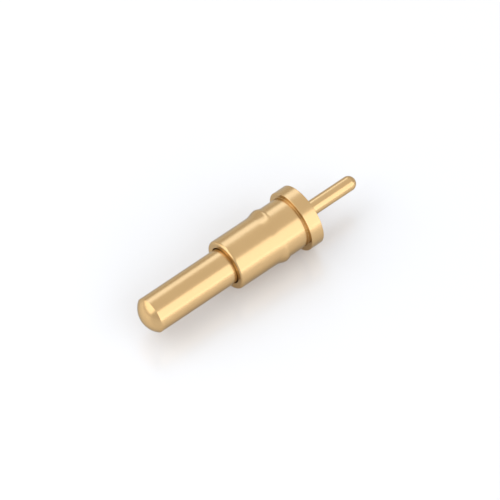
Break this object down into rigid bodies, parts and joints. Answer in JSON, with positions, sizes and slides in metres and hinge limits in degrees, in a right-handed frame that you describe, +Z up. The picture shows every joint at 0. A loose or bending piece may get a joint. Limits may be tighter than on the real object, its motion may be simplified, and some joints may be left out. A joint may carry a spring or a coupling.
{
  "type": "spring-loaded contact pin",
  "caption": "Spring-loaded contact pin: domed plunger in a flanged press-fit shell with a solder tail.",
  "frame": {"origin": "centre of the flange's rear face, on the pin's axis", "axes": "+Y along the solder tail, -Y out of the contact tip, +Z up with the pin lying level, the line through the two swaged bumps drops 30 degrees towards +X"},
  "size_m": [0.0018, 0.0074, 0.0018],
  "materials": {
    "shell_plating": "satin gold plating on turned brass",
    "plunger_plating": "satin gold plating on turned brass",
    "spring_wire": "bright drawn stainless wire"
  },
  "bodies": {
    "shell_body": {"shell": "shell_plating", "spring": "spring_wire"},
    "plunger_body": {"plunger": "plunger_plating"}
  },
  "joints": [
    {"name": "plunger_press", "type": "slide", "parent": "shell_body", "child": "plunger_body", "axis": [0, 1, 0], "range_m": [0, 0.00114], "stiffness_N_per_m": 460, "springref_m": -0.00055, "deforming": ["spring"]}
  ]
}
